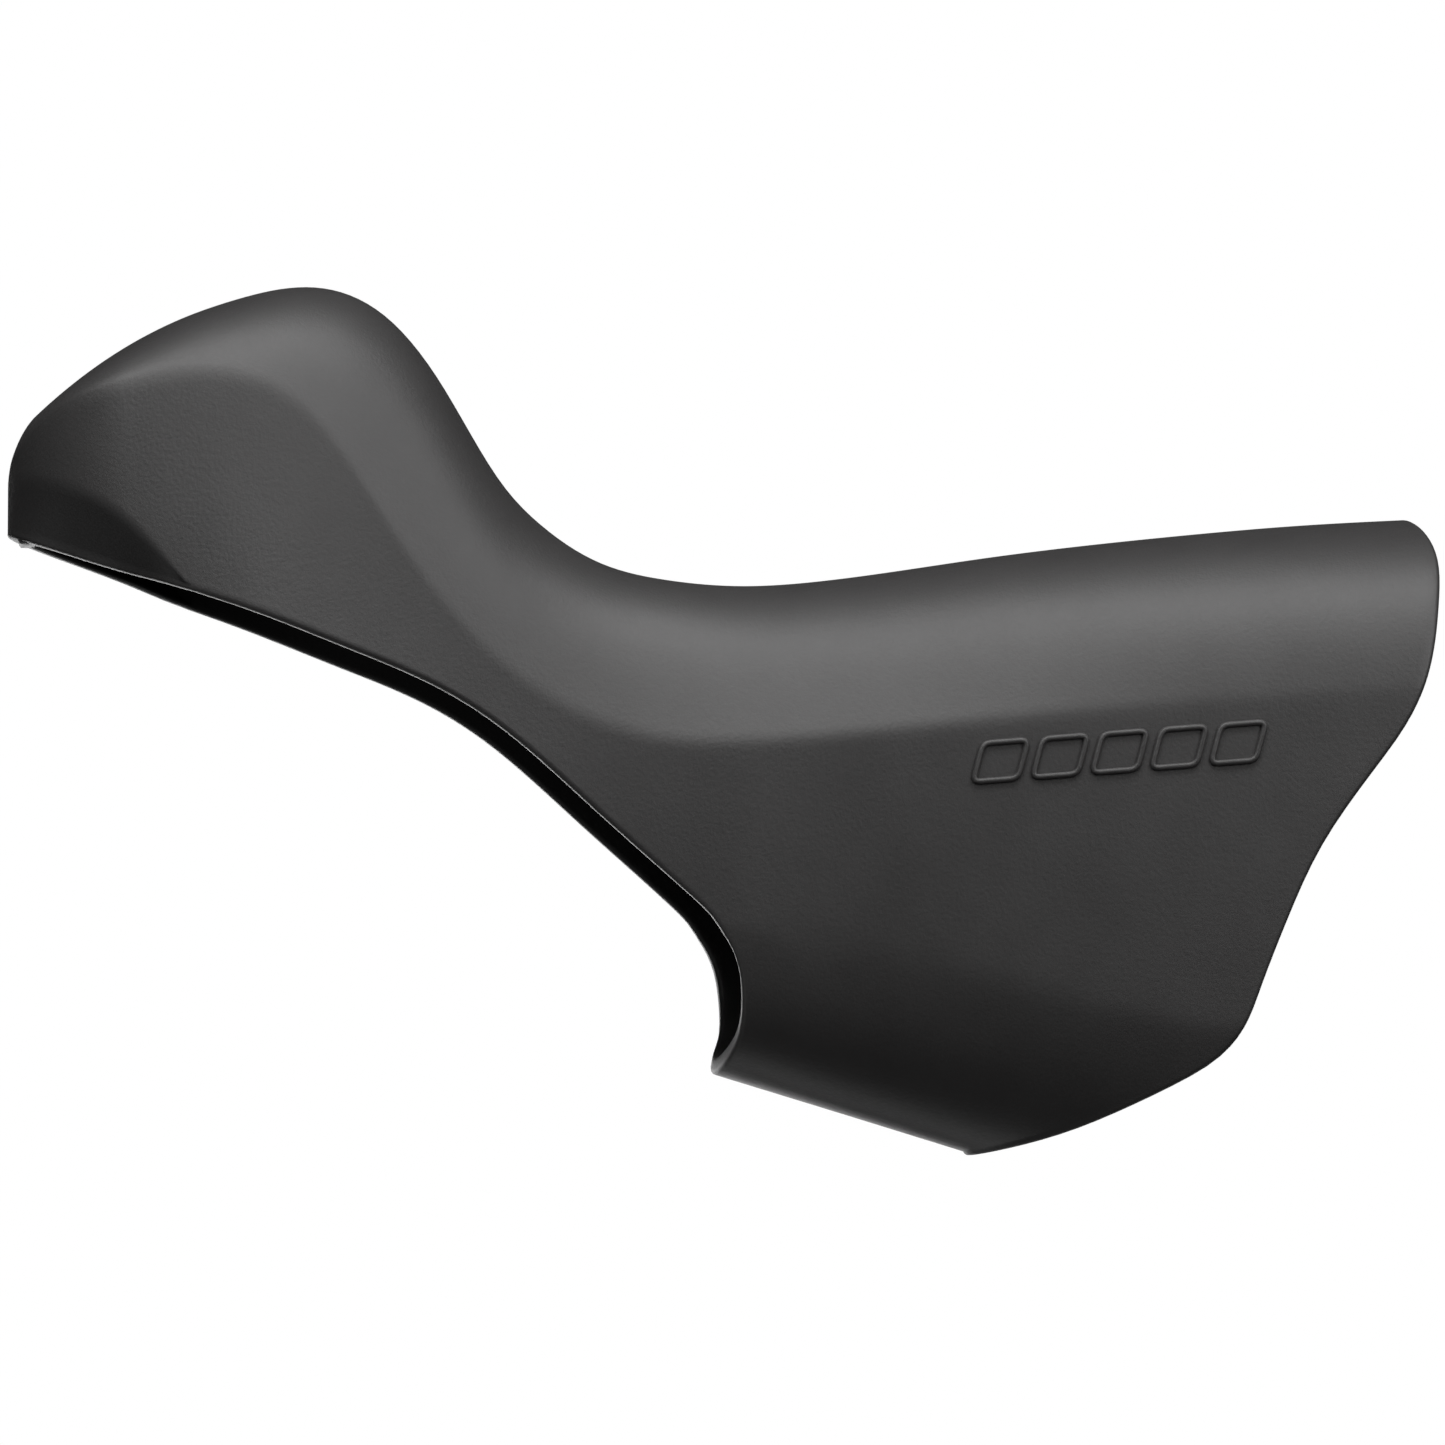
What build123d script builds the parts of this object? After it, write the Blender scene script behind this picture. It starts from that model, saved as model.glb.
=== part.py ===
from build123d import *
import os
from math import cos, radians, sin, sqrt

# Rubber hood (bracket cover) of a drop-bar brake and shift lever: one hollow elastomer moulding.
# Millimetres. +X points back to the handlebar, +Z up, and Y = 0 is the plane of symmetry.
# The origin is the middle of the rear mouth, where the lever's bracket and the handlebar enter.
#
# The outer form is a loft through upright cross-sections. Each half of a section has three curves:
#   crown   from the ridge over the top down to the chine, the crease along the side
#   flank   from the chine down to the keel, the lower crease
#   belly   from the keel in to the middle of the underside
# Along the horn the belly lies below the front opening, which cuts it away.

WALL = 1.8                  # thickness of the rubber
NOSE_X = -119.8             # foremost point of the horn
NOSE_HALF_WIDTH = 11.0      # half width where the rounding of the nose starts
NOSE_LENGTH = 8.0           # how far back from the tip the nose is rounded in plan
NOSE_EDGE_RADIUS = 1.0      # rounding where the top of the horn turns down into the nose
STATIONS = range(-124, 17, 5)    # where the upright sections stand

# Side view, (x, z).
RIDGE = [
    (-124.0, 30.8), (-118.0, 36.1), (-112.0, 41.0), (-104.0, 45.7), (-97.0, 48.2), (-92.7, 48.9),
    (-88.5, 48.2), (-84.6, 45.7), (-80.2, 40.1), (-74.6, 31.2), (-70.0, 26.3), (-64.5, 23.2),
    (-57.0, 21.8), (-49.0, 21.7), (-34.0, 23.8), (-12.0, 26.5), (16.0, 28.5),
]
CHINE = [
    (-124.0, 26.5), (-116.0, 35.6), (-107.9, 39.0), (-99.7, 39.7), (-94.3, 37.9), (-89.8, 32.8),
    (-84.3, 24.2), (-78.0, 16.2), (-71.7, 11.1), (-64.5, 7.5), (-57.3, 6.5), (-48.3, 6.8),
    (-21.5, 9.3), (16.0, 11.9),
]
KEEL = [
    (-124.0, 24.0), (-118.0, 29.4), (-114.3, 29.9), (-109.7, 27.7), (-107.0, 25.3), (-103.4, 20.3),
    (-98.0, 14.5), (-84.0, 6.0), (-72.0, -2.0), (-62.0, -8.0), (-52.0, -10.6), (-26.0, -16.8),
    (16.0, -22.0),
]
BELLY = [
    (-124.0, 18.0), (-114.0, 15.0), (-100.0, 5.5), (-84.0, -3.0), (-70.0, -14.0), (-60.0, -21.6),
    (-55.0, -23.4), (-31.0, -30.8), (-6.0, -38.4), (16.0, -45.0),
]
FRONT_RIM = [
    (-122.0, 26.4), (-113.8, 23.6), (-104.7, 20.5), (-88.9, 14.7), (-79.8, 10.7), (-70.8, 4.0),
    (-61.6, -4.0), (-56.1, -9.3), (-53.5, -15.2), (-53.6, -20.6), (-55.4, -24.4),
]
REAR_RIM = [
    (9.6, 29.2), (10.5, 25.0), (10.1, 19.5), (8.4, 11.5), (3.7, 4.2), (-1.1, -2.6), (-4.4, -9.3),
    (-6.9, -16.0), (-8.8, -20.4), (-14.5, -24.8), (-26.0, -29.4), (-31.0, -31.2),
]
# Half widths, (x, y).
CHINE_HALF_WIDTH = [
    (-124.0, 9.8), (-112.0, 10.8), (-104.0, 12.0), (-96.0, 12.9), (-86.0, 13.3), (-74.0, 13.3),
    (-64.0, 13.5), (-55.0, 14.7), (-47.0, 15.8), (-34.0, 16.8), (-14.0, 17.6), (16.0, 18.4),
]
KEEL_HALF_WIDTH = [
    (-124.0, 8.9), (-112.0, 10.1), (-104.0, 12.3), (-96.0, 13.9), (-84.0, 14.0), (-72.0, 13.5),
    (-62.0, 13.2), (-56.0, 14.0), (-50.0, 14.9), (-39.0, 15.8), (-24.0, 16.8), (16.0, 18.0),
]
# How far the surface leans up just above the chine, and under just below the keel, (x, degrees).
CHINE_LEAN = [(-124.0, 12.0), (-100.0, 20.0), (-82.0, 10.0), (-60.0, 16.0), (-40.0, 18.0), (16.0, 6.0)]
KEEL_LEAN = [(-124.0, 36.0), (-108.0, 34.0), (-84.0, 18.0), (-54.0, 16.0), (16.0, 18.0)]

# How far out the top and the underside stay near the middle's height, as a share of the half width.
CROWN_FULLNESS = 0.72
BELLY_FULLNESS = 0.68

# The raised mark below the chine on each flank: a row of slanted open lozenges.
MARK_HEIGHT = 0.35
MARK_STROKE = 0.5
MARK_CENTRE = (-19.6, 5.5)
MARK_TILT = 4.5
MARK_CELL = (4.2, 3.5)
MARK_SLANT = 1.2
MARK_COUNT = 5
MARK_PITCH = 5.4

# Pegs inside the flanks that drop into dimples of the bracket: x, z and half the gap between the tips.
PEGS = [(-36.0, 0.0, 13.3), (-94.0, 27.0, 10.2)]
PEG_RADIUS = 2.2
PEG_LENGTH = 2.6            # from the tip to inside the wall
# The tab inside the nose: its size, and the x and z of its middle.
TAB_SIZE = (1.6, 6.0, 3.0)
TAB_PLACE = (-118.0, 26.4)

SWEEP_OUT = 40.0            # half width of the side view cuts, past both flanks


def along(points, x):
    """Height or width at x on a smooth curve through the points (a cubic Hermite curve)."""
    last = len(points) - 2
    i = next((k for k in range(last) if x < points[k + 1][0]), last)
    slopes = []
    for k in (i, i + 1):
        before = points[max(k - 1, 0)]
        after = points[min(k + 1, last + 1)]
        slopes.append((after[1] - before[1]) / (after[0] - before[0]))
    (x0, v0), (x1, v1) = points[i], points[i + 1]
    span = x1 - x0
    t = (x - x0) / span
    rise = t * t * (3 - 2 * t)
    return (
        v0 * (1 - rise)
        + v1 * rise
        + span * slopes[0] * t * (1 - t) ** 2
        - span * slopes[1] * t * t * (1 - t)
    )


def steepness(points, x):
    """How much further apart two copies of the outline are, measured upright, than across the slope."""
    rise = along(points, x + 1) - along(points, x - 1)
    return sqrt(1 + (rise / 2) ** 2)


def half_section(x, inset):
    """The crown, flank and belly of one side at x, moved in by inset, as lists of control points."""
    ridge = (0, along(RIDGE, x) - inset * steepness(RIDGE, x))
    belly = (0, along(BELLY, x) + inset * steepness(BELLY, x))
    chine_y = along(CHINE_HALF_WIDTH, x) - inset
    keel_y = along(KEEL_HALF_WIDTH, x) - inset
    chine_z = along(CHINE, x)
    keel_z = along(KEEL, x)
    up = radians(along(CHINE_LEAN, x))
    under = radians(along(KEEL_LEAN, x))
    crown_pull = 0.5 * (ridge[1] - chine_z)
    flank_pull = (chine_z - keel_z) / 3
    belly_pull = 0.45 * (keel_z - belly[1])
    crown = [
        ridge,
        (CROWN_FULLNESS * chine_y, ridge[1]),
        (chine_y - crown_pull * sin(up), chine_z + crown_pull * cos(up)),
        (chine_y, chine_z),
    ]
    flank = [
        (chine_y, chine_z),
        (chine_y + 0.02 * flank_pull, chine_z - flank_pull),
        (keel_y + 0.08 * flank_pull, keel_z + flank_pull),
        (keel_y, keel_z),
    ]
    under_belly = [
        (keel_y, keel_z),
        (keel_y - belly_pull * sin(under), keel_z - belly_pull * cos(under)),
        (BELLY_FULLNESS * keel_y, belly[1]),
        belly,
    ]
    return [crown, flank, under_belly]


def body_form(inset):
    """The whole closed form, moved in by inset, before the nose and the openings are cut."""
    with BuildPart() as form:
        for x in STATIONS:
            with BuildSketch(Plane(origin=(x, 0, 0), x_dir=(0, 1, 0), z_dir=(1, 0, 0))):
                with BuildLine():
                    sides = half_section(x, inset)
                    for points in sides:
                        Bezier(*points)
                    for points in sides:
                        Bezier(*[(-y, z) for y, z in points])
                make_face()
        loft()
        # The nose, rounded in plan.
        tip = (NOSE_X + inset, 0)
        full = (NOSE_X + inset + NOSE_LENGTH, NOSE_HALF_WIDTH - inset)
        shoulder = (NOSE_X + inset + 0.3 * NOSE_LENGTH, NOSE_HALF_WIDTH - inset - 0.4)
        with BuildSketch(Plane.XY):
            with BuildLine():
                Bezier(tip, (tip[0], 0.75 * full[1]), shoulder, full)
                Polyline(full, (-90, SWEEP_OUT), (SWEEP_OUT, SWEEP_OUT), (SWEEP_OUT, 0), tip)
            make_face()
            mirror(about=Plane.XZ)
        extrude(amount=100, both=True, mode=Mode.INTERSECT)
    return form.part


def side_cut(rim, beyond):
    """Everything past a rim in side view, as a block right across the hood."""
    with BuildPart() as cut:
        with BuildSketch(Plane.XZ):
            with BuildLine():
                Spline(*rim)
                Polyline(rim[-1], *beyond, rim[0])
            make_face()
        extrude(amount=SWEEP_OUT, both=True)
    return cut.part


def lozenge(width, height, slant):
    """A slanted four-sided outline about the origin of the sketch."""
    Polygon(
        (-width / 2 - slant / 2, -height / 2),
        (width / 2 - slant / 2, -height / 2),
        (width / 2 + slant / 2, height / 2),
        (-width / 2 + slant / 2, height / 2),
        align=None,
    )


def mark_blocks():
    """The row of open lozenges, run right across the hood."""
    width, height = MARK_CELL
    inner_share = (height - 2 * MARK_STROKE) / height
    with BuildPart() as blocks:
        with BuildSketch(Plane.XZ):
            with Locations(Location((*MARK_CENTRE, 0), MARK_TILT)):
                with GridLocations(MARK_PITCH, 0, MARK_COUNT, 1):
                    lozenge(width, height, MARK_SLANT)
        extrude(amount=SWEEP_OUT, both=True)
        with BuildSketch(Plane.XZ):
            with Locations(Location((*MARK_CENTRE, 0), MARK_TILT)):
                with GridLocations(MARK_PITCH, 0, MARK_COUNT, 1):
                    lozenge(width - 2 * MARK_STROKE, height - 2 * MARK_STROKE, MARK_SLANT * inner_share)
        extrude(amount=SWEEP_OUT, both=True, mode=Mode.SUBTRACT)
    return blocks.part


outer = body_form(0)
inner = body_form(WALL)
raised = body_form(-MARK_HEIGHT)
front_cut = side_cut(FRONT_RIM, [(-58.0, -60.0), (-140.0, -60.0), (-140.0, FRONT_RIM[0][1])])
rear_cut = side_cut(REAR_RIM, [(-31.0, -80.0), (60.0, -80.0), (60.0, 60.0), (REAR_RIM[0][0], 60.0)])

with BuildPart() as shell:
    add(outer)
    nose_edges = shell.edges().filter_by_position(Axis.X, NOSE_X, NOSE_X + NOSE_LENGTH)
    fillet(nose_edges.filter_by_position(Axis.Z, KEEL[1][1], RIDGE[2][1]), NOSE_EDGE_RADIUS)
    add(inner, mode=Mode.SUBTRACT)
    add(front_cut, mode=Mode.SUBTRACT)
    add(rear_cut, mode=Mode.SUBTRACT)

with BuildPart() as mark:
    add(mark_blocks())
    add(raised, mode=Mode.INTERSECT)
    add(inner, mode=Mode.SUBTRACT)

with BuildPart() as pegs:
    for x, z, half_gap in PEGS:
        for side in (1, -1):
            with BuildSketch(Plane.XZ.offset(side * half_gap)):
                with Locations((x, z)):
                    Circle(PEG_RADIUS)
            extrude(amount=side * PEG_LENGTH)

with BuildPart() as lever_hood:
    add(shell.part)
    add(mark.part)
    add(pegs.part)
    with Locations((TAB_PLACE[0], 0, TAB_PLACE[1])):
        Box(*TAB_SIZE)
lever_hood.part.label = "lever_hood"

os.makedirs("parts", exist_ok=True)
export_step(lever_hood.part, "parts/lever_hood.step")
print("volume", round(lever_hood.part.volume), "valid", lever_hood.part.is_valid)
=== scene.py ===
# The rubber hood (bracket cover) of a drop-bar brake and shift lever, on a plain white background.
#
# The CAD node is replaced by one finer mesh of the same form. Its outlines are in millimetres, in the
# frame of the CAD model: +X back to the handlebar, +Z up, Y = 0 the plane of symmetry. Each side has
# these areas, and every line between two of them is a line of the mesh:
#   crown   from the ridge over the top down to the chine, the crease along the side
#   flank   under the chine, down to the front rim or to the keel, the lower crease
#   cheek   under the keel beside the nose, leaning in to the front rim
#   belly   under the keel behind the front opening, turning in to the middle of the underside
import math

import bmesh
import bpy
import numpy as np
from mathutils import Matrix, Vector


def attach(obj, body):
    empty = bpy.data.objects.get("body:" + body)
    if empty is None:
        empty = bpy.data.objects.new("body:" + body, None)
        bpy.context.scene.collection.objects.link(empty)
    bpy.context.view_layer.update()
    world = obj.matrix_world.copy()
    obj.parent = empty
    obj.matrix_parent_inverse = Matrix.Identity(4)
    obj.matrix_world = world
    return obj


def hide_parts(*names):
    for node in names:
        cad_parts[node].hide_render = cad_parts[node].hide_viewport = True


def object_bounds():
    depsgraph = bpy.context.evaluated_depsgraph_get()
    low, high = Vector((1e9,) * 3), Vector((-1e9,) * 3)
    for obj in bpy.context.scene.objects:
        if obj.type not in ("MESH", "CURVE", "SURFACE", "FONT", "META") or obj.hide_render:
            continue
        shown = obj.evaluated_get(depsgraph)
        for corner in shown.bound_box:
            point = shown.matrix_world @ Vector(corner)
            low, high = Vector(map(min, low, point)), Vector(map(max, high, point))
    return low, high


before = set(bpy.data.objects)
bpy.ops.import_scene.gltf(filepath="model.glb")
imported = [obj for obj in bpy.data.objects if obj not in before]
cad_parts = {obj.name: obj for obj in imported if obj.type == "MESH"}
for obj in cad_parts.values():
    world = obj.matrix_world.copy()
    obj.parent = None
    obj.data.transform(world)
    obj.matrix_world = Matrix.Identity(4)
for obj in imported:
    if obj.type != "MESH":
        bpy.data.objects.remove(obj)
cad_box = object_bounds()

MM = 0.001
WALL = 1.8                  # thickness of the rubber
RIM_ROUND = 0.45            # rounding of the edges of the rims
RIM_STEPS = 3               # how many steps each of them is rounded in
NOSE_X = -119.8             # foremost point of the horn
KEEL_MEETS_RIM = -103.0     # where the front keel runs out into the front rim
APRON_X = -55.0             # where the rear keel starts at the front rim
LEAST_GAP = 0.3             # least height between the ridge, the chine and the flank's lower edge

# Side view, (x, z).
RIDGE = [
    (-124.0, 30.8), (-118.0, 36.0), (-111.5, 41.4), (-104.2, 45.7), (-98.5, 47.8), (-93.0, 48.9),
    (-88.5, 48.2), (-84.8, 45.9), (-80.2, 40.2), (-74.6, 31.0), (-70.9, 27.1), (-66.0, 23.9),
    (-59.8, 22.2), (-52.4, 21.6), (-45.0, 22.1), (-30.0, 24.3), (-12.0, 26.5), (0.0, 27.6), (12.0, 28.3),
]
CHINE = [
    (-124.0, 27.0), (-120.2, 31.4), (-116.0, 35.8), (-110.0, 38.5), (-104.0, 39.8), (-99.0, 39.5),
    (-94.3, 37.5), (-89.8, 32.8), (-84.3, 24.4), (-79.0, 17.4), (-74.0, 12.6), (-68.0, 9.0),
    (-62.0, 7.0), (-54.0, 6.5), (-40.0, 7.5), (-20.0, 9.4), (12.0, 11.6),
]
FRONT_KEEL = [
    (-124.0, 30.4), (-118.0, 30.4), (-114.3, 29.4), (-109.8, 27.0), (-106.6, 24.1), (-103.0, 20.0),
    (-100.0, 16.3),
]
REAR_KEEL = [
    (-62.0, -10.0), (-55.0, -10.1), (-50.5, -10.8), (-38.0, -13.1), (-24.5, -16.5), (-7.0, -19.8),
    (12.0, -22.0),
]
BELLY = [(-62.0, -21.3), (-54.8, -23.5), (-43.0, -27.1), (-31.0, -30.8), (-10.0, -37.2)]
FRONT_RIM = [
    (-124.0, 27.0), (-113.9, 23.6), (-104.7, 20.5), (-97.9, 18.2), (-88.9, 14.7), (-79.8, 10.7),
    (-75.3, 7.8), (-66.2, -0.1), (-58.0, -7.4), (-55.0, -10.8), (-53.0, -14.5),
]
# The rims where they are steep, (z, x): the front one round the lip, and the rear one.
LIP_RIM = [
    (-26.0, -56.8), (-23.4, -55.0), (-21.2, -53.8), (-18.0, -53.3), (-15.8, -53.4), (-13.6, -53.8),
    (-11.5, -54.7), (-10.1, -55.6), (-8.0, -57.2),
]
REAR_RIM = [
    (-33.5, -44.0), (-30.9, -31.0), (-29.4, -25.4), (-27.2, -19.8), (-24.9, -15.1), (-22.7, -11.3),
    (-20.4, -8.9), (-16.0, -6.8), (-9.3, -4.2), (-2.6, -1.0), (4.1, 3.7), (8.0, 6.5), (12.5, 8.6),
    (19.5, 10.1), (25.0, 10.5), (28.5, 9.5),
]
# Half widths, (x, y).
CHINE_WIDTH = [
    (-124.0, 11.2), (-112.0, 11.6), (-104.0, 12.2), (-96.0, 12.9), (-86.0, 13.3), (-74.0, 13.3),
    (-64.0, 13.5), (-55.0, 14.7), (-47.0, 15.8), (-34.0, 16.8), (-14.0, 17.6), (12.0, 18.2),
]
CHEEK_WIDTH = [
    (-124.0, 4.6), (-114.0, 5.5), (-111.5, 6.3), (-109.0, 7.7), (-107.0, 9.6), (-105.0, 11.4),
    (-103.0, 12.3),
]
CHEEK_SLANT = 1.15      # the leaning cheek's wall measured straight across, as a share of the wall
# How fast the flank comes in below the chine: its mean slope down to FLANK_DEPTH, (x, slope).
FLANK_SLOPE = [
    (-124.0, 0.06), (-114.0, 0.05), (-106.0, -0.02), (-98.0, -0.07), (-90.0, -0.08), (-80.0, -0.07),
    (-73.0, -0.05), (-67.0, -0.01), (-61.0, 0.03), (-56.5, 0.02), (-52.0, 0.0), (-46.0, 0.03),
    (-36.0, 0.03), (-20.0, 0.0), (12.0, -0.02),
]
FLANK_DEPTH = 20.0
FLANK_START = 0.35      # the share of that slope that it starts with at the chine
FLANK_HOLLOW = 0.0016   # and it comes in by this times the square of the depth as well
# How far the crown still leans up where it meets the chine, (x, degrees).
CROWN_LEAN = [
    (-124.0, 20.0), (-112.0, 26.0), (-102.0, 26.0), (-92.0, 16.0), (-80.0, 10.0), (-68.0, 14.0),
    (-56.0, 20.0), (-30.0, 20.0), (-8.0, 10.0), (12.0, 6.0),
]
CROWN_FULLNESS = 0.72   # how far out the crown stays near the ridge's height, share of the width
# How far the belly leans under where it leaves the keel, (x, degrees), and how full it is,
# (x, share of the width).
BELLY_LEAN = [(-56.0, 9.0), (-38.0, 14.0)]
BELLY_FULLNESS = [(-56.0, 0.8), (-30.0, 0.6)]
LEAN_REACH = 0.5        # how far both leans are followed, share of the crown's or the belly's height
# How far from the creases their rounding reaches, (x, length).
CHINE_ROUND = [(-120.0, 1.2), (-90.0, 0.9), (12.0, 0.9)]
CHEEK_ROUND = [(-108.0, 0.8), (-103.5, 0.01)]
KEEL_ROUND = [(-54.9, 0.01), (-49.0, 2.6), (-38.0, 2.0), (-12.0, 1.0)]
LIP_SET_BACK = 0.2      # how far the inner edge of the lip lies behind the outer, share of the wall

# Nose: lengths over which it closes, seen from above, and the drop of its top edge.
NOSE_LENGTH = 11.0
CHEEK_LENGTH = 5.0
NOSE_DROP = 4.4
NOSE_DROP_LENGTH = 2.6

# The raised mark below the chine on each flank: a row of slanted open lozenges.
MARK_HEIGHT = 0.32
MARK_ROOT = 0.3         # how deep it is let into the wall
MARK_STROKE = 0.6
MARK_TOP = 0.6          # width of the flat top of the stroke, share of the stroke
MARK_CENTRE = (-19.6, 5.5)
MARK_TILT = 4.5
MARK_CELL = (4.1, 3.4)
MARK_SLANT = 1.2
MARK_CORNER = 0.7
MARK_COUNT = 5
MARK_PITCH = 5.4

# Inside: pegs that drop into dimples of the bracket (x, z, half the gap between the tips), and a tab.
PEGS = [(-36.0, 0.0, 13.3), (-94.0, 27.0, 10.2)]
PEG_RADIUS = 2.2
PEG_SIDES = 32
# A peg from the middle of its rounded tip to the middle of its root, (share of the radius, depth).
PEG_PROFILE = [
    (0.0, 0.0), (0.55, 0.0), (0.8, 0.06), (0.95, 0.22), (1.0, 0.45), (1.0, 1.6), (1.0, 2.6),
    (0.0, 2.6),
]
TAB_SIZE = (1.6, 6.0, 3.0)
TAB_PLACE = (-118.0, 26.4)
TAB_CORNER = 0.4
TAB_TIP = 0.8           # its lower end, share of its width and length
TAB_TIP_HEIGHT = 0.25

# Mesh: quads along the horn to the end of the front keel, along the front rim, and behind it.
HORN_COLUMNS = 44
NECK_COLUMNS = 60
BODY_COLUMNS = 70
NOSE_CROWDING = 1.7     # 1 spaces the horn's columns evenly, more crowds them at the nose
# Quads across each area, and how closely they crowd at its upper and its lower edge.
CROWN_ROWS = (30, 1.0, 1.5)
FLANK_ROWS = (24, 1.4, 1.3)
CHEEK_ROWS = (10, 1.2, 1.0)
BELLY_ROWS = (20, 1.3, 1.0)
# Between which x the lengthwise lines meet the rear mouth, and between which they meet the lip.
REAR_SEARCH = (-50.0, 12.0)
LIP_SEARCH = (-60.0, -50.0)
HALVINGS = 40           # steps of that search
TINY = 1e-6


def curve(points):
    """A smooth function through the points: a natural cubic spline, whose end pieces carry on."""
    xs, vs = np.array(points, float).T
    h = np.diff(xs)
    n = len(xs)
    system = np.eye(n)
    right = np.zeros(n)
    for i in range(1, n - 1):
        system[i, i - 1 : i + 2] = h[i - 1], 2 * (h[i - 1] + h[i]), h[i]
        right[i] = 6 * ((vs[i + 1] - vs[i]) / h[i] - (vs[i] - vs[i - 1]) / h[i - 1])
    bend = np.linalg.solve(system, right)

    def value(x):
        x = np.asarray(x, float)
        k = np.clip(np.searchsorted(xs, x) - 1, 0, n - 2)
        a = xs[k + 1] - x
        b = x - xs[k]
        return (
            (bend[k] * a**3 + bend[k + 1] * b**3) / (6 * h[k])
            + (vs[k] / h[k] - bend[k] * h[k] / 6) * a
            + (vs[k + 1] / h[k] - bend[k + 1] * h[k] / 6) * b
        )

    return value


def lookup(table, x):
    """A value from a table of (x, value): straight between its entries, level beyond them."""
    return np.interp(x, *zip(*table))


def slope(function, x):
    """The slope of a function."""
    step = 0.05
    return (function(x + step) - function(x - step)) / (2 * step)


ridge_line = curve(RIDGE)
chine_line = curve(CHINE)
front_keel_line = curve(FRONT_KEEL)
rear_keel_line = curve(REAR_KEEL)
belly_line = curve(BELLY)
front_rim_line = curve(FRONT_RIM)
lip_rim_line = curve(LIP_RIM)
rear_rim_line = curve(REAR_RIM)
chine_width = curve(CHINE_WIDTH)
cheek_width = curve(CHEEK_WIDTH)
flank_slope = curve(FLANK_SLOPE)
crown_lean = curve(CROWN_LEAN)


def closing(x, length, inset):
    """From 0 at the tip of the nose to 1 where it is full, along a quarter of an ellipse."""
    t = np.clip((x - NOSE_X - inset) / length, 0, 1)
    return np.sqrt(1 - (1 - t) ** 2)


def ridge_height(x, inset):
    """The ridge, with the nose's rounded top edge."""
    steep = np.sqrt(1 + slope(ridge_line, x) ** 2)
    return ridge_line(x) - inset * steep - NOSE_DROP * (1 - closing(x, NOSE_DROP_LENGTH, inset))


def chine_height(x, inset):
    """The chine, held a little under the ridge at the nose."""
    return np.minimum(chine_line(x), ridge_height(x, inset) - LEAST_GAP)


def flank_width(x, z, inset):
    """Half width of the flank at a height."""
    down = chine_height(x, 0) - z
    turned = down * (FLANK_START + (1 - FLANK_START) * down / FLANK_DEPTH)
    full = chine_width(x) - flank_slope(x) * turned - FLANK_HOLLOW * down**2
    return (full - inset) * closing(x, NOSE_LENGTH, inset)


def on_bezier(v, ys, zs):
    """The y and z of a point of a Bezier curve, from those of its four control points."""
    weights = (1 - v) ** 3, 3 * v * (1 - v) ** 2, 3 * v * v * (1 - v), v**3
    y = sum(weight * control for weight, control in zip(weights, ys))
    z = sum(weight * control for weight, control in zip(weights, zs))
    return y, z


def crown_point(x, v, inset):
    """A point of the crown: v runs from 0 at the ridge to 1 at the chine."""
    top = ridge_height(x, inset)
    low = chine_height(x, inset)
    wide = flank_width(x, low, inset)
    lean = np.radians(crown_lean(x)) * closing(x, NOSE_LENGTH, inset)
    pull = LEAN_REACH * (top - low)
    ys = 0 * wide, CROWN_FULLNESS * wide, wide - pull * np.sin(lean), wide
    zs = top, top, low + pull * np.cos(lean), low
    return on_bezier(v, ys, zs)


def belly_point(x, v, inset):
    """A point of the belly: v runs from 0 at the keel to 1 at the middle of the underside."""
    top = rear_keel_line(x)
    low = belly_line(x) + inset
    wide = flank_width(x, top, inset)
    lean = np.radians(lookup(BELLY_LEAN, x))
    pull = LEAN_REACH * (top - low)
    ys = wide, wide - pull * np.sin(lean), lookup(BELLY_FULLNESS, x) * wide, 0 * wide
    zs = top, top - pull * np.cos(lean), low, low
    return on_bezier(v, ys, zs)


def front_rim_height(x):
    """The edge of the front opening, less the rounding of the rim."""
    return front_rim_line(x) + RIM_ROUND * np.sqrt(1 + slope(front_rim_line, x) ** 2)


def lip_rim_x(z):
    """The same where the opening turns down round the lip."""
    return lip_rim_line(z) + RIM_ROUND * np.sqrt(1 + slope(lip_rim_line, z) ** 2)


def rear_rim_x(z):
    """The edge of the rear mouth, less the rounding of the rim."""
    return rear_rim_line(z) - RIM_ROUND * np.sqrt(1 + slope(rear_rim_line, z) ** 2)


def lower_edge(x, inset):
    """The lower edge of the flank ahead of the apron: the front keel, then the front rim."""
    keel = np.where(x < KEEL_MEETS_RIM, front_keel_line(x), -np.inf)
    edge = np.maximum(keel, front_rim_height(x))
    return np.minimum(edge, chine_height(x, inset) - LEAST_GAP)


def meets(height, rim_x, search, count):
    """The x where each lengthwise line of the surface, height(x), meets a rim, x = rim_x(height)."""
    low, high = (np.full(count, bound) for bound in search)
    for _ in range(HALVINGS):
        middle = (low + high) / 2
        past = middle > rim_x(height(middle))
        high = np.where(past, middle, high)
        low = np.where(past, low, middle)
    return (low + high) / 2


def rows(count, near_start, near_end):
    """Steps from 0 to 1, crowded at either end by its power; a power of 1 leaves them even."""
    q = np.linspace(0, 1, count + 1)
    return q**near_start / (q**near_start + (1 - q) ** near_end)


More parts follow.
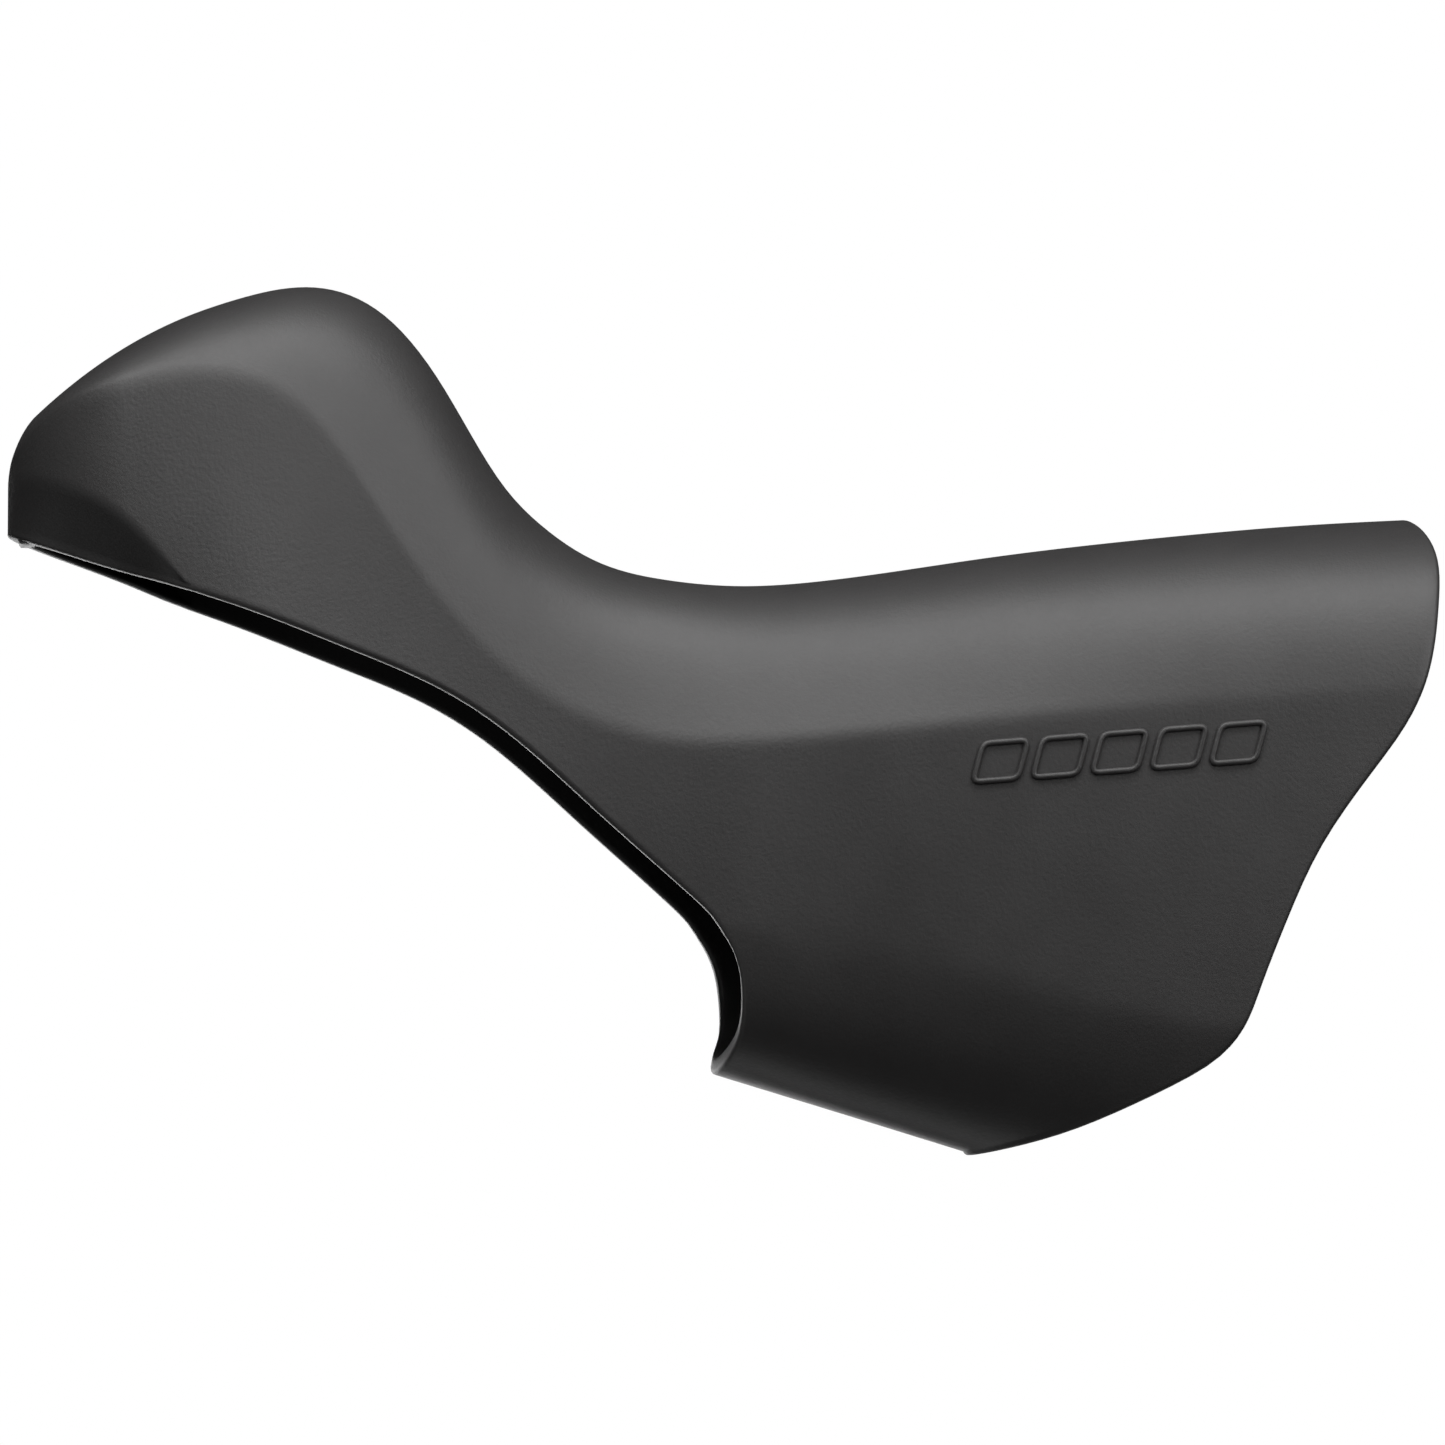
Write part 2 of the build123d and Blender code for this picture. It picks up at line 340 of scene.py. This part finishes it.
def round_crease(upper, lower, reach):
    """Rounds the crease where the last row of one grid is the first row of the next."""
    crease = upper[-1].copy()
    reach = lookup(reach, crease[:, 0])
    bend = 0 * crease
    for line in (upper[-2], lower[1]):
        away = line - crease
        bend += away / (np.linalg.norm(away, axis=1) + TINY)[:, None]
    # Both grids counted from the crease. The rounding fades out over the last third of each, so that
    # its far edge stays where it is.
    for grid in (upper[::-1], lower):
        far = np.linalg.norm(grid - crease, axis=2)
        share = np.maximum(reach - far, 0) ** 2 / (4 * reach)
        share *= np.minimum(1, 3 * np.linspace(1, 0, len(grid)))[:, None]
        grid += share[:, :, None] * bend


def half_sheet(inset):
    """One side of the outer or inner surface, as grids of points (row, column, xyz)."""
    tip = NOSE_X + inset
    horn = tip + (KEEL_MEETS_RIM - tip) * np.linspace(0, 1, HORN_COLUMNS + 1) ** NOSE_CROWDING
    neck = np.linspace(KEEL_MEETS_RIM, APRON_X, NECK_COLUMNS + 1)[1:]
    forward = np.concatenate([horn, neck])
    across = np.linspace(0, 1, BODY_COLUMNS + 1)

    def columns(v, height):
        """For each row, the x of every column: fixed ahead of the apron, then shared out behind it."""
        end = meets(height, rear_rim_x, REAR_SEARCH, len(v))
        rear = APRON_X + across[None, 1:] * (end[:, None] - APRON_X)
        return np.hstack([np.repeat(forward[None, :], len(v), 0), rear])

    # Crown.
    v = rows(*CROWN_ROWS)
    x = columns(v, lambda a: crown_point(a, v, inset)[1])
    y, z = crown_point(x, v[:, None], inset)
    crown = np.stack([x, y, z], -1)

    # Flank.
    def flank_height(a, share):
        top = chine_height(a, inset)
        low = np.where(a > APRON_X - TINY, rear_keel_line(a), lower_edge(a, inset))
        return top + share * (low - top)

    v = rows(*FLANK_ROWS)
    x = columns(v, lambda a: flank_height(a, v))
    z = flank_height(x, v[:, None])
    flank = np.stack([x, flank_width(x, z, inset), z], -1)

    # Cheek, under the front keel.
    v = rows(*CHEEK_ROWS)[:, None]
    x = np.repeat(horn[None, :], len(v), 0)
    top = lower_edge(x, inset)
    z = top + v * (front_rim_height(x) - top)
    wide = flank_width(x, top, inset)
    narrow = (cheek_width(x) - CHEEK_SLANT * inset) * closing(x, CHEEK_LENGTH, inset)
    narrow = np.minimum(narrow, wide)
    narrow[:, -1] = wide[:, -1]
    cheek = np.stack([x, wide + v * (narrow - wide), z], -1)

    # Belly.
    v = rows(*BELLY_ROWS)
    start = meets(lambda a: belly_point(a, v, 0)[1], lip_rim_x, LIP_SEARCH, len(v))
    start += LIP_SET_BACK * inset * v**2
    start[0] = APRON_X
    end = meets(lambda a: belly_point(a, v, inset)[1], rear_rim_x, REAR_SEARCH, len(v))
    x = start[:, None] + across[None, :] * (end - start)[:, None]
    y, z = belly_point(x, v[:, None], inset)
    belly = np.stack([x, y, z], -1)

    ahead = slice(0, HORN_COLUMNS)
    behind = slice(HORN_COLUMNS + NECK_COLUMNS, None)
    round_crease(crown, flank, CHINE_ROUND)
    round_crease(flank[:, behind], belly, KEEL_ROUND)
    round_crease(flank[:, ahead], cheek[:, ahead], CHEEK_ROUND)
    return crown, flank, cheek, belly


class Sheet:
    """Points and quads of one surface, and the numbers of the points along each grid."""

    def __init__(self):
        self.points = []
        self.quads = []
        self.numbers = {}

    def point(self, p):
        """The number of a point, the same for points in the same place."""
        key = tuple(round(float(c), 4) + 0.0 for c in p)
        if key not in self.numbers:
            self.numbers[key] = len(self.points)
            self.points.append(tuple(float(c) for c in p))
        return self.numbers[key]

    def grid(self, points):
        """Adds a grid of points as quads and gives back the points' numbers."""
        numbers = [[self.point(p) for p in line] for line in points]
        for upper, lower in zip(numbers, numbers[1:]):
            for k in range(len(upper) - 1):
                quad = [upper[k], upper[k + 1], lower[k + 1], lower[k]]
                quad = [n for i, n in enumerate(quad) if n != quad[i - 1]]
                if len(quad) > 2:
                    self.quads.append(quad)
        return numbers


def edge_loops(numbers_left, numbers_right):
    """The closed rims of both openings, as lists of point numbers, from the grids of both sides."""

    def front(numbers):
        _, flank, cheek, belly = numbers
        along_rim = cheek[-1] + flank[-1][HORN_COLUMNS + 1 : -BODY_COLUMNS]
        return along_rim + [line[0] for line in belly[1:]]

    def rear(numbers):
        crown, flank, _, belly = numbers
        return [line[-1] for line in crown + flank[1:] + belly[1:]]

    return [rim(numbers_left) + rim(numbers_right)[-2:0:-1] for rim in (front, rear)]


def rim_strip(sheet, outer_loop, inner_loop, turn_way):
    """The rounded edge between the outer and the inner surface, round one opening. The turn_way is 1
    or -1, so that it bulges out of the opening."""
    outer = np.array([sheet.points[n] for n in outer_loop])
    inner = np.array([sheet.points[n] for n in inner_loop])
    middle = (outer + inner) / 2
    run = np.roll(middle, -1, 0) - np.roll(middle, 1, 0)
    across = outer - inner
    across /= np.linalg.norm(across, axis=1)[:, None]
    out = turn_way * np.cross(run, across)
    out /= np.linalg.norm(out, axis=1)[:, None]
    over_outer = [outer]
    over_inner = [inner]
    for step in range(1, RIM_STEPS + 1):
        turn = math.pi / 2 * step / RIM_STEPS
        in_from_edge = RIM_ROUND * (1 - math.cos(turn)) * across
        rise = RIM_ROUND * math.sin(turn) * out
        over_outer.append(outer - in_from_edge + rise)
        over_inner.append(inner + in_from_edge + rise)
    sheet.grid([closed(line) for line in over_outer + over_inner[::-1]])


def closed(line):
    """The line with its first point again at the end."""
    return np.vstack([line, line[:1]])


def rounded_outline(corners, radius, steps):
    """A closed outline through the corners, each one rounded."""
    corners = [np.array(c, float) for c in corners]
    outline = []
    for k, corner in enumerate(corners):
        before = corners[k - 1] - corner
        after = corners[(k + 1) % len(corners)] - corner
        start = corner + before / np.linalg.norm(before) * radius
        end = corner + after / np.linalg.norm(after) * radius
        for step in range(steps + 1):
            t = step / steps
            outline.append((1 - t) ** 2 * start + 2 * t * (1 - t) * corner + t * t * end)
    return np.array(outline)


def add_marks(sheet):
    """The raised row of open lozenges on each flank, as closed ridges let into the surface."""
    tilt = math.radians(MARK_TILT)
    width, height = MARK_CELL
    lean = MARK_SLANT / 2
    corners = [
        (-width / 2 - lean, -height / 2),
        (width / 2 - lean, -height / 2),
        (width / 2 + lean, height / 2),
        (-width / 2 + lean, height / 2),
    ]
    path = rounded_outline(corners, MARK_CORNER, steps=4)
    run = np.roll(path, -1, 0) - np.roll(path, 1, 0)
    side_step = np.stack([-run[:, 1], run[:, 0]], 1) / np.linalg.norm(run, axis=1)[:, None]
    # The stroke's cross-section: across it, and out of the flank.
    foot = MARK_STROKE / 2
    top = MARK_TOP * foot
    section = [
        (-foot, -MARK_ROOT),
        (-foot, 0.0),
        (-top, MARK_HEIGHT),
        (top, MARK_HEIGHT),
        (foot, 0.0),
        (foot, -MARK_ROOT),
        (-foot, -MARK_ROOT),
    ]
    for number in range(MARK_COUNT):
        shift = (number - (MARK_COUNT - 1) / 2) * MARK_PITCH
        for side in (-1, 1):
            lines = []
            for across, out in section:
                along, up = (path + side_step * across + (shift, 0)).T
                x = MARK_CENTRE[0] + along * math.cos(tilt) - up * math.sin(tilt)
                z = MARK_CENTRE[1] + along * math.sin(tilt) + up * math.cos(tilt)
                y = side * (flank_width(x, z, 0) + out)
                lines.append(closed(np.stack([x, y, z], 1)))
            sheet.grid(lines)


def add_pegs(sheet):
    """The low round pegs inside the flanks, with rounded tips, let into the wall."""
    turns = np.linspace(0, 2 * math.pi, PEG_SIDES + 1)
    for x, z, half_gap in PEGS:
        for side in (-1, 1):
            rings = []
            for share, depth in PEG_PROFILE:
                ring_x = x + PEG_RADIUS * share * np.cos(turns)
                ring_y = np.full(PEG_SIDES + 1, side * (half_gap + depth))
                ring_z = z + PEG_RADIUS * share * np.sin(turns)
                rings.append(np.stack([ring_x, ring_y, ring_z], 1))
            sheet.grid(rings)


def add_tab(sheet):
    """The small moulded tab that hangs inside the nose."""
    long, wide, high = TAB_SIZE
    corners = [
        (-long / 2, -wide / 2),
        (long / 2, -wide / 2),
        (long / 2, wide / 2),
        (-long / 2, wide / 2),
    ]
    outline = closed(rounded_outline(corners, TAB_CORNER, steps=3))
    # From the middle of its lower end to the middle of its upper end: share of the outline, height.
    profile = [
        (0.0, -high / 2),
        (TAB_TIP, -high / 2),
        (1.0, TAB_TIP_HEIGHT - high / 2),
        (1.0, high / 2),
        (0.0, high / 2),
    ]
    rings = []
    for share, up in profile:
        ring_x = TAB_PLACE[0] + share * outline[:, 0]
        ring_y = share * outline[:, 1]
        ring_z = np.full(len(outline), TAB_PLACE[1] + up)
        rings.append(np.stack([ring_x, ring_y, ring_z], 1))
    sheet.grid(rings)


def hood_mesh():
    """The whole hood: both sides of the outer and inner surfaces, and the rims between them."""
    sheet = Sheet()
    loops = []
    for inset in (0, WALL):
        sides = []
        for side in (-1, 1):
            sides.append([sheet.grid(grid * (1, side, 1)) for grid in half_sheet(inset)])
        loops.append(edge_loops(*sides))
    for outer_loop, inner_loop, turn_way in zip(*loops, (1, -1)):
        rim_strip(sheet, outer_loop, inner_loop, turn_way)
    add_marks(sheet)
    add_pegs(sheet)
    add_tab(sheet)
    mesh = bpy.data.meshes.new("lever_hood_rubber")
    mesh.from_pydata([tuple(c * MM for c in p) for p in sheet.points], [], sheet.quads)
    form = bmesh.new()
    form.from_mesh(mesh)
    bmesh.ops.recalc_face_normals(form, faces=form.faces)
    form.to_mesh(mesh)
    form.free()
    mesh.polygons.foreach_set("use_smooth", [True] * len(mesh.polygons))
    mesh.update()
    return mesh


# ==== Camera, floor, light and materials ====

VIEW_AZIMUTH = -5.0         # degrees; 0 looks along +Y
VIEW_ELEVATION = -3.4
VIEW_DISTANCE = 575 * MM
VIEW_CENTRE = Vector((-54.0, 0.0, 9.0)) * MM
VIEW_WIDTH = 133.6 * MM     # how much the picture spans at the plane of symmetry
FLOOR_DROP = 980 * MM       # how far the floor lies below the hood
FLOOR_HALF = 7500 * MM      # half its length and width
FLOOR_GLOW = 0.85           # keeps the floor pale where the soft boxes do not reach
STUDIO_DIM = 0.02           # how bright the studio is beside its white background

# Soft boxes: place in metres from the middle of the view, size in metres, power in watts.
SOFTBOXES = [
    ("key_softbox", (0.0, -0.35, 0.7), (1.0, 0.3), 7.3),
    ("top_softbox", (0.0, 0.0, 0.8), (1.0, 0.4), 0.5),
    ("front_softbox", (0.0, -0.6, 0.5), (1.0, 0.3), 1.0),
    ("right_softbox", (0.45, -0.5, 0.2), (0.3, 0.3), 1.8),
    ("horn_fill", (-0.06, -0.14, 0.08), (0.08, 0.08), 0.07),
    ("low_left_fill", (-0.55, -0.25, -0.35), (0.4, 0.4), 0.3),
    ("low_strip", (0.0, 0.3, -0.5), (0.8, 0.3), 0.5),
    ("back_fill", (0.05, 0.75, -0.14), (1.0, 0.3), 3.0),
]

RUBBER_DARK = (0.0275, 0.0265, 0.0265, 1)
RUBBER_LIGHT = (0.0325, 0.0315, 0.0315, 1)
RUBBER_ROUGHNESS = (0.47, 0.53)
GRAIN_FINENESS = 2600       # grains and blotches to a metre
MOTTLE_FINENESS = 160
GRAIN_DEPTH = 0.05 * MM
GRAIN_STRENGTH = 0.6


def add_camera():
    """The camera at the viewing angle, framed on the hood."""
    a, e = math.radians(VIEW_AZIMUTH), math.radians(VIEW_ELEVATION)
    back = Vector((math.sin(a) * math.cos(e), -math.cos(a) * math.cos(e), math.sin(e)))
    data = bpy.data.cameras.new("camera")
    data.sensor_width = 36.0
    data.lens = data.sensor_width * VIEW_DISTANCE / VIEW_WIDTH
    data.clip_start = 0.01
    data.clip_end = 20.0
    camera = bpy.data.objects.new("camera", data)
    camera.location = VIEW_CENTRE + back * VIEW_DISTANCE
    camera.rotation_mode = "QUATERNION"
    camera.rotation_quaternion = (-back).to_track_quat("-Z", "Y")
    bpy.context.collection.objects.link(camera)
    bpy.context.scene.camera = camera


def add_softbox(name, place, size, power):
    """A soft box, aimed at the middle of the view."""
    data = bpy.data.lights.new(name, "AREA")
    data.shape = "RECTANGLE"
    data.size, data.size_y = size
    data.energy = power
    light = bpy.data.objects.new(name, data)
    light.visible_camera = False
    light.location = VIEW_CENTRE + Vector(place)
    light.rotation_mode = "QUATERNION"
    light.rotation_quaternion = Vector(place).to_track_quat("Z", "Y")
    bpy.context.collection.objects.link(light)


def shader(material):
    """The material's node tree, cleared, with its shader and output joined."""
    material.use_nodes = True
    tree = material.node_tree
    tree.nodes.clear()
    output = tree.nodes.new("ShaderNodeOutputMaterial")
    surface = tree.nodes.new("ShaderNodeBsdfPrincipled")
    tree.links.new(surface.outputs["BSDF"], output.inputs["Surface"])
    return tree, surface


def floor_material():
    """Plain pale studio floor."""
    material = bpy.data.materials.new("studio_floor")
    tree, surface = shader(material)
    surface.inputs["Base Color"].default_value = (0.9, 0.9, 0.9, 1)
    surface.inputs["Roughness"].default_value = 0.9
    surface.inputs["Specular IOR Level"].default_value = 0.1
    surface.inputs["Emission Color"].default_value = (1, 1, 1, 1)
    surface.inputs["Emission Strength"].default_value = FLOOR_GLOW
    return material


def add_floor(material):
    """A wide floor, well below the hood."""
    low = cad_box[0][2] - FLOOR_DROP
    half = FLOOR_HALF
    corners = [(-half, -half, low), (half, -half, low), (half, half, low), (-half, half, low)]
    mesh = bpy.data.meshes.new("studio_floor")
    mesh.from_pydata(corners, [], [(0, 1, 2, 3)])
    mesh.materials.append(material)
    floor = bpy.data.objects.new("studio_floor", mesh)
    floor.visible_diffuse = False
    floor.visible_glossy = False
    bpy.context.collection.objects.link(floor)


def add_world():
    """A white background that lights the hood only dimly: the studio itself is dark."""
    world = bpy.data.worlds.new("studio")
    world.use_nodes = True
    tree = world.node_tree
    background = tree.nodes["Background"]
    background.inputs["Color"].default_value = (1, 1, 1, 1)
    path = tree.nodes.new("ShaderNodeLightPath")
    strength = tree.nodes.new("ShaderNodeMapRange")
    strength.inputs["To Min"].default_value = STUDIO_DIM
    strength.inputs["To Max"].default_value = 1.0
    tree.links.new(path.outputs["Is Camera Ray"], strength.inputs["Value"])
    tree.links.new(strength.outputs["Result"], background.inputs["Strength"])
    bpy.context.scene.world = world


def rubber_material():
    """Matt black moulded rubber: fine grain, faint mottling, a soft sheen."""
    material = bpy.data.materials.new("hood_rubber")
    tree, surface = shader(material)
    nodes, links = tree.nodes, tree.links
    place = nodes.new("ShaderNodeTexCoord")

    def noise(scale, detail, roughness):
        node = nodes.new("ShaderNodeTexNoise")
        node.inputs["Scale"].default_value = scale
        node.inputs["Detail"].default_value = detail
        node.inputs["Roughness"].default_value = roughness
        links.new(place.outputs["Object"], node.inputs["Vector"])
        return node

    def spread(source, first, last):
        """The middle of the noise's range, spread from the first value to the last."""
        node = nodes.new("ShaderNodeMapRange")
        node.inputs["From Min"].default_value = 0.3
        node.inputs["From Max"].default_value = 0.7
        node.inputs["To Min"].default_value = first
        node.inputs["To Max"].default_value = last
        links.new(source.outputs["Fac"], node.inputs["Value"])
        return node.outputs["Result"]

    grain = noise(GRAIN_FINENESS, 3, 0.6)
    mottle = noise(MOTTLE_FINENESS, 4, 0.55)
    colour = nodes.new("ShaderNodeMix")
    colour.data_type = "RGBA"
    colour.inputs["A"].default_value = RUBBER_DARK
    colour.inputs["B"].default_value = RUBBER_LIGHT
    links.new(spread(mottle, 0.0, 1.0), colour.inputs["Factor"])
    links.new(colour.outputs["Result"], surface.inputs["Base Color"])
    links.new(spread(grain, *RUBBER_ROUGHNESS), surface.inputs["Roughness"])
    surface.inputs["Specular IOR Level"].default_value = 0.5
    bump = nodes.new("ShaderNodeBump")
    bump.inputs["Strength"].default_value = GRAIN_STRENGTH
    bump.inputs["Distance"].default_value = GRAIN_DEPTH
    links.new(grain.outputs["Fac"], bump.inputs["Height"])
    links.new(bump.outputs["Normal"], surface.inputs["Normal"])
    return material


hood = bpy.data.objects.new("lever_hood_rubber", hood_mesh())
hood.data.materials.append(rubber_material())
bpy.context.collection.objects.link(hood)
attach(hood, "root")
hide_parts("lever_hood")

add_camera()
add_world()
add_floor(floor_material())
for softbox in SOFTBOXES:
    add_softbox(*softbox)
bpy.context.scene.view_settings.view_transform = "Standard"
